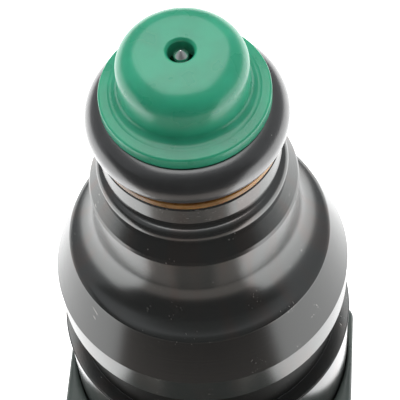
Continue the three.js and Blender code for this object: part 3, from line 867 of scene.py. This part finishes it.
def connectorDistance(points):
    # distance to the moulding: neck, skirt, block and sleeve run together, less the can, core and socket
    shape = connectorShape
    low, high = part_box("connector_body")
    bottom, top = low.z / mm, high.z / mm
    overlap = 1.0
    x, y, z = points.T
    radius = np.hypot(x, y)
    turn, slant = np.radians(shape["turn"]), np.radians(shape["slant"])
    out = x * np.cos(turn) + y * np.sin(turn)
    across = x * np.sin(turn) - y * np.cos(turn)
    level, rise = out - shape["rootOut"], z - shape["rootHeight"]
    along = level * np.cos(slant) - rise * np.sin(slant)
    up = level * np.sin(slant) + rise * np.cos(slant)

    lip = disc(radius, z, shape["lip"], bottom, shape["lipTop"], 0.7)
    groove = disc(radius, z, shape["clip"], bottom + overlap, shape["neckBottom"] + overlap)
    neck = disc(radius, z, shape["neck"], shape["neckBottom"], shape["skirtBottom"] + 2 * overlap, 0.6)
    inward = radius - shape["skirt"] + shape["bevelWidth"]
    bevel = (shape["skirtBottom"] - z + inward * 1.1) / 1.49  # 1.49 is the length of (1, 1.1)
    skirt = disc(radius, z, shape["skirt"], shape["skirtBottom"], shape["canBottom"])
    skirt = softMax(skirt, bevel, 0.8)
    body = softMin(softMin(lip, groove, 0.3), softMin(neck, skirt, 3.2), 0.3)

    lean = (out - shape["front"] + (top - shape["frontDrop"] - z) * np.tan(slant)) * np.cos(slant)
    cut = (shape["cutCorner"] - (out - shape["back"]) - (z - shape["bottom"])) / np.sqrt(2)
    block = softMax(np.abs(across) - shape["halfWidth"], shape["back"] - out, 0.9)
    block = softMax(softMax(block, lean, 1.2), z - top, 0.7)
    block = softMax(softMax(block, shape["bottom"] - z, 1.0), cut, 1.0)

    sleeve = roundedBar(across, up, shape["width"], shape["height"], shape["corner"])
    sleeve = softMax(softMax(sleeve, along - shape["reach"], 0.6), -along, 0.3)
    lugAlong = along - shape["reach"] + shape["lugBack"] - shape["lugLength"] / 2
    lug = roundedBar(lugAlong, up, shape["lugLength"], shape["lugHeight"], 0.3)
    lug = softMax(lug, np.abs(across) - shape["width"] / 2 - shape["lugProud"], 0.5)
    body = softMin(softMin(body, block, 1.0), softMin(sleeve, lug, 0.5), 1.2)

    wall = shape["wall"]
    hollow = roundedBar(across, up, shape["width"] - 2 * wall, shape["height"] - 2 * wall,
                        shape["corner"] - wall)
    hollow = softMax(hollow, shape["reach"] - shape["depth"] - along, 0.5)
    can = np.maximum(radius - shape["canSpace"], shape["canBottom"] - z)
    body = softMax(softMax(body, -hollow, 0.6), -can, 0.35)
    return softMax(body, shape["coreSpace"] - radius, 0.3)


def shellOf(distance, low, high, step):
    # Every grid cell that the surface crosses holds one point, moved onto it by point - distance * slope.
    # Every grid edge that it crosses makes a quad of the four cells round that edge.
    axes = [np.arange(low[i] - 1.5 * step, high[i] + 2.5 * step, step) for i in range(3)]
    grid = np.stack(np.meshgrid(*axes, indexing="ij"), axis=-1)
    inside = (distance(grid.reshape(-1, 3)) < 0).reshape(grid.shape[:3])
    corners = [inside[i:len(axes[0]) - 1 + i, j:len(axes[1]) - 1 + j, k:len(axes[2]) - 1 + k]
               for i in (0, 1) for j in (0, 1) for k in (0, 1)]
    full = np.sum(corners, axis=0)
    crossed = (full > 0) & (full < 8)
    index = np.full(crossed.shape, -1)
    index[crossed] = np.arange(crossed.sum())
    points = grid[:-1, :-1, :-1][crossed] + step / 2
    nudge = 0.01
    for _ in range(5):
        here = distance(points)
        slope = np.stack([distance(points + shift) - here for shift in np.eye(3) * nudge], axis=1) / nudge
        points -= np.clip(here[:, None] * slope / (slope ** 2).sum(1, keepdims=True), -step, step)
    faces = []
    for axis in range(3):
        order = (axis, (axis + 1) % 3, (axis + 2) % 3)
        solid, cell = inside.transpose(order), index.transpose(order)
        before, after = solid[:-1, 1:-1, 1:-1], solid[1:, 1:-1, 1:-1]
        ring = np.stack([cell[:, :-1, :-1], cell[:, 1:, :-1], cell[:, 1:, 1:], cell[:, :-1, 1:]], axis=-1)
        faces += ring[before & ~after].tolist() + ring[~before & after][:, ::-1].tolist()
    return points, faces


bodyLow, bodyHigh = (np.array(corner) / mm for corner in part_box("connector_body"))
shellPoints, shellFaces = shellOf(connectorDistance, bodyLow, bodyHigh, connectorShape["grid"])
piece("moulded_connector", shellPoints, shellFaces, "connector_body",
      nylons["dark_connector_nylon"])
print("connector moulded,", len(shellFaces), "faces")

# the flat stampings keep the CAD's shape
for keptNode, metal in {
    "stop_shim": "ground_steel", "flux_washer": "soft_iron", "terminal_left": "tin_plate",
    "terminal_right": "tin_plate",
}.items():
    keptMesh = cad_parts[keptNode].data
    keptMesh.materials.clear()
    keptMesh.materials.append(metals[metal])


def stageSheet(name, grid, material):
    # open sheet over a grid of points: it joins neighbours only, and is no part of the injector
    made = added(name, newMesh(name, grid.reshape(-1, 3), quadsBetween(numbered(grid)).tolist(), material))
    return made


floorLook = {
    "dark": colour(0.86, 0.86, 0.855), "light": colour(0.9, 0.9, 0.895), "glow": 1.4, "halfWidth": 2500.0,
    "gap": 0.05,
}


def paleFloor():
    # glowing white floor, a hair below the inlet end: point (i, j) = (x j, y i, height)
    board = newBoard("pale_floor")
    tone = board.noise(board.place(), 0.01, 3)
    base = board.blend(tone, floorLook["dark"], floorLook["light"])
    white = board.finish(base, 0.8, **{
        "Emission Color": colour(1, 1, 1), "Emission Strength": floorLook["glow"]})
    ends = np.array([-1, 1]) * floorLook["halfWidth"]
    x, y = np.meshgrid(ends, ends)
    height = cadLow.z / mm - floorLook["gap"]
    stageSheet("floor", np.stack([x, y, height + 0 * x], axis=-1), white)


cardLook = {
    "left": -59, "right": 39, "near": 22, "bend": 100, "far": 150, "top": 125, "widening": 0.6, "lift": 0.3,
    # the first colour is painted shade: the floor in the injector's shadow, as it shows in reflections
    "shadedFloorPaint": colour(0.64, 0.575, 0.53), "standing": colour(0.03, 0.031, 0.029), "change": (1, 12),
}


def frontCard():
    # Dark card before the injector, seen only in its reflections: a fan on the floor that curls up at its
    # far side. Its lying part is painted shade, coloured as floor in the injector's shadow, and its
    # standing part is dark.
    # Point (i, j) = (distance i * sin turn j, -distance i * cos turn j, height i)
    board = newBoard("dark_card")
    _, _, level = board.split(board.place())
    # painted shade: the lying part is coloured as floor in shadow, the standing part dark
    shade = board.blend(board.ease(level, *cardLook["change"]), cardLook["shadedFloorPaint"], cardLook["standing"])
    card = board.finish(shade, 0.9)
    curl = np.linspace(0, np.pi / 2, 12)
    near, bend, far, top = (cardLook[key] for key in ("near", "bend", "far", "top"))
    distance = np.concatenate([[near], bend + (far - bend) * np.sin(curl)])[:, None]
    height = np.concatenate([[0], top * (1 - np.cos(curl))])[:, None] + cardLook["lift"]
    turn = np.radians(np.linspace(cardLook["left"], cardLook["right"], 25))
    turn = turn * (1 + cardLook["widening"] * np.clip(height / top, 0, 1))
    grid = np.stack([distance * np.sin(turn), -distance * np.cos(turn), height + 0 * turn], axis=-1)
    made = stageSheet("front_card", grid, card)
    made.visible_camera = False
    made.visible_shadow = False


cadLow, cadHigh = cadBox
paleFloor()
frontCard()

topBox = {"from": (0.0, 0.165, 0.632), "size": (0.56, 0.67), "power": 2.68, "aimHeight": 0.7}


def softBox():
    # lamp over and a little behind the injector, aimed at a share of its height
    data = bpy.data.lights.new("top_box", "AREA")
    data.shape = "RECTANGLE"
    data.size, data.size_y = topBox["size"]
    data.energy = topBox["power"]
    made = added("top_box", data)
    made.location = topBox["from"]
    aim = Vector((0, 0, cadHigh.z * topBox["aimHeight"])) - made.location
    made.rotation_euler = aim.to_track_quat("-Z", "Y").to_euler()
    made.visible_camera = False


softBox()

roomLook = {"back": colour(0.34, 0.35, 0.36), "front": colour(0.095, 0.1, 0.097), "change": (0.3, 0.75)}


def surroundings():
    # dim room, darker towards the front, and white where the camera looks past the floor
    world = bpy.data.worlds.new("studio")
    bpy.context.scene.world = world
    board = Board(world)
    _, y, _ = board.split(board.add("ShaderNodeTexCoord", out="Generated"))
    room = board.blend(board.ease(y * -1.0, *roomLook["change"]), roomLook["back"], roomLook["front"])
    straight = board.add("ShaderNodeLightPath", out="Is Camera Ray")
    shade = board.blend(straight, room, colour(1, 1, 1))
    background = board.add("ShaderNodeBackground", inputs={"Color": shade, "Strength": 1.0})
    board.add("ShaderNodeOutputWorld", inputs={"Surface": background})


surroundings()

cameraPlace = {
    "flangeDepth": 4.35, "distance": 120.0, "height": 53.06, "tilt": 56.76, "swing": 0.22, "roll": -5.87,
    "lens": 156.2,
}


def frontCamera():
    # stands on a circle round the middle of the cap's flange, then tilts down, swings and rolls
    angles = [cameraPlace[key] for key in ("height", "tilt", "swing", "roll")]
    height, tilt, swing, roll = np.radians(angles)
    data = bpy.data.cameras.new("camera")
    data.lens = cameraPlace["lens"]
    data.sensor_width = 36
    data.clip_start, data.clip_end = 0.005, 20
    data.dof.use_dof = False
    made = added("camera", data)
    forward = np.array([np.sin(swing) * np.cos(tilt), np.cos(swing) * np.cos(tilt), -np.sin(tilt)])
    right = np.array([np.cos(swing), -np.sin(swing), 0])
    up = np.cross(right, forward)
    across = right * np.cos(roll) + up * np.sin(roll)
    upright = up * np.cos(roll) - right * np.sin(roll)
    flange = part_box("pintle_cap")[1].z / mm - cameraPlace["flangeDepth"]
    place = cameraPlace["distance"] * np.array([0, -np.cos(height), np.sin(height)]) + [0, 0, flange]
    turn = Matrix([list(axis) for axis in zip(across, upright, -forward)]).to_4x4()
    made.matrix_world = Matrix.Translation(Vector(place * mm)) @ turn
    bpy.context.scene.camera = made


frontCamera()
bpy.context.scene.view_settings.view_transform = "Standard"
print("stage, lamp and camera set")
